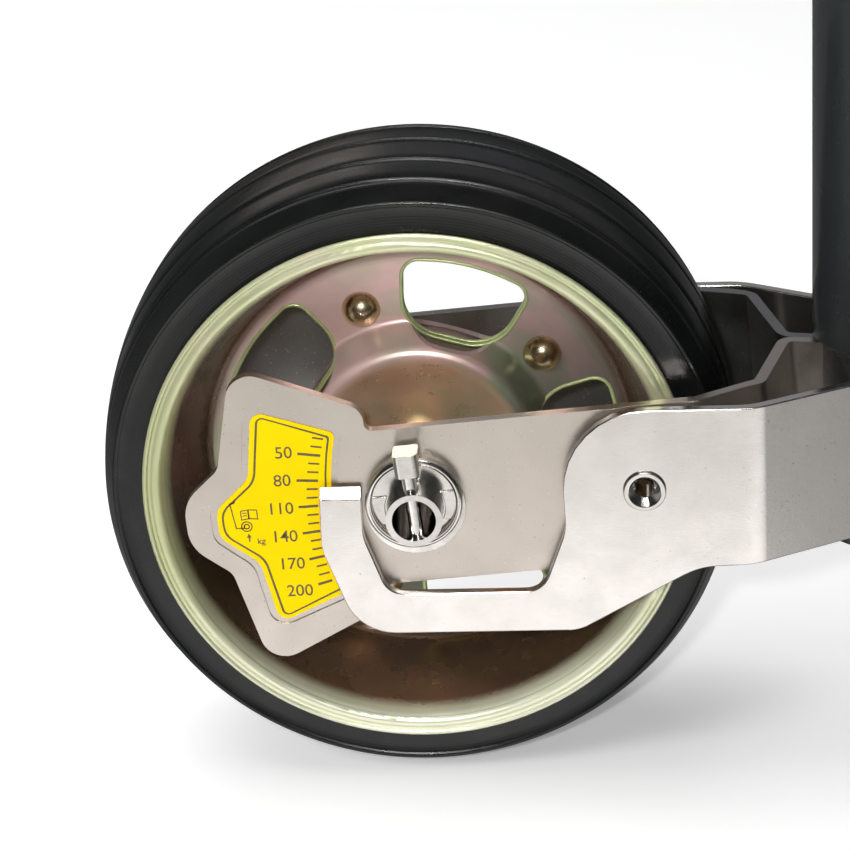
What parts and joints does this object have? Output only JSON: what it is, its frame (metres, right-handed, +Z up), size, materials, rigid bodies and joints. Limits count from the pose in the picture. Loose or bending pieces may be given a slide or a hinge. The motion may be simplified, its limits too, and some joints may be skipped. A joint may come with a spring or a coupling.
{
  "type": "jockey wheel",
  "caption": "Swivelling wheel on a telescopic leg: a lever between fork plates carries the wheel, and a pointer on the fork reads its load off a scale.",
  "frame": {"origin": "on the leg tube's axis, at the lower end of the clamped outer tube", "axes": "+Z up along the leg tube; the wheel turns about a line along Y, on the -X side; the printed scale faces -Y"},
  "size_m": [0.318, 0.1289, 0.4162],
  "materials": {
    "zinc_tube": "dark glossy zinc plate",
    "zinc_plate": "bright zinc plate with a satin rolled surface",
    "zinc_fitting": "bright zinc plate",
    "chromate_rim": "yellow chromated zinc plate",
    "chromate_rivet": "golden chromated zinc plate",
    "rubber": "smooth black moulded rubber",
    "sticker": "printed yellow film",
    "black_plastic": "moulded plastic",
    "spring_steel": "oiled spring steel",
    "nut_bronze": "turned bronze"
  },
  "bodies": {
    "clamp_tube": {"outer_tube": "zinc_tube", "top_cap": "black_plastic", "thrust_washer": "zinc_fitting"},
    "spindle": {"spindle": "zinc_fitting"},
    "nut": {"spindle_nut": "nut_bronze", "nut_circlip": "zinc_fitting"},
    "leg": {"inner_tube": "zinc_tube", "leg_collar": "zinc_fitting", "tube_end_cap": "zinc_tube", "fork_near": "zinc_plate", "fork_far": "zinc_plate", "weld_near": "zinc_fitting", "weld_far": "zinc_fitting", "pivot_near": "zinc_fitting", "pivot_far": "zinc_fitting"},
    "lever": {"lever_near": "zinc_plate", "lever_far": "zinc_plate", "neck_rivet_front": "zinc_fitting", "neck_rivet_rear": "zinc_fitting", "scale_sticker": "sticker", "pivot_washer_near": "zinc_fitting", "pivot_washer_far": "zinc_fitting", "axle_tube": "zinc_fitting", "washer_near": "zinc_fitting", "washer_far": "zinc_fitting", "spacer_near": "black_plastic", "spacer_far": "black_plastic", "linch_pin": "zinc_fitting"},
    "ring": {"linch_ring": "zinc_fitting"},
    "plunger": {"plunger": "zinc_fitting", "gauge_spring": "spring_steel"},
    "wheel": {"tyre": "rubber", "rim_near": "chromate_rim", "rim_far": "chromate_rim", "hub_sleeve": "chromate_rim", "bush_near": "black_plastic", "bush_far": "black_plastic", "rim_rivet_1": "chromate_rivet", "rim_rivet_2": "chromate_rivet", "rim_rivet_3": "chromate_rivet", "rim_rivet_4": "chromate_rivet", "rim_rivet_5": "chromate_rivet"}
  },
  "joints": [
    {"name": "leg_slide", "type": "slide", "parent": "clamp_tube", "child": "nut", "axis": [0, 0, -1], "range_m": [0, 0.12]},
    {"name": "spindle_turn", "type": "hinge", "parent": "clamp_tube", "child": "spindle", "pos_m": [0, 0, 0.2], "axis": [0, 0, 1], "range_deg": [-10, 10810]},
    {"name": "leg_swivel", "type": "hinge", "parent": "nut", "child": "leg", "pos_m": [0, 0, 0.19], "axis": [0, 0, 1], "continuous": true},
    {"name": "gauge_tilt", "type": "hinge", "parent": "leg", "child": "lever", "pos_m": [-0.09166, 0, -0.03466], "axis": [0, 1, 0], "range_deg": [0, 17.7], "stiffness_Nm_per_rad": 290, "springref_deg": -14.5},
    {"name": "plunger_slide", "type": "slide", "parent": "leg", "child": "plunger", "axis": [0, 0, -1], "range_m": [0, 0.028], "deforming": ["gauge_spring"]},
    {"name": "wheel_spin", "type": "hinge", "parent": "lever", "child": "wheel", "pos_m": [-0.173, 0, -0.0412], "axis": [0, 1, 0], "continuous": true},
    {"name": "ring_swing", "type": "hinge", "parent": "lever", "child": "ring", "pos_m": [-0.17494, -0.0584, -0.0227], "axis": [-0.9945, 0, -0.1045], "range_deg": [0, 165]}
  ],
  "couplings": [
    {"joint": "spindle_turn", "follows": "leg_slide", "rad_per_m": 1570.8},
    {"joint": "plunger_slide", "follows": "gauge_tilt", "m_per_rad": 0.0895}
  ]
}
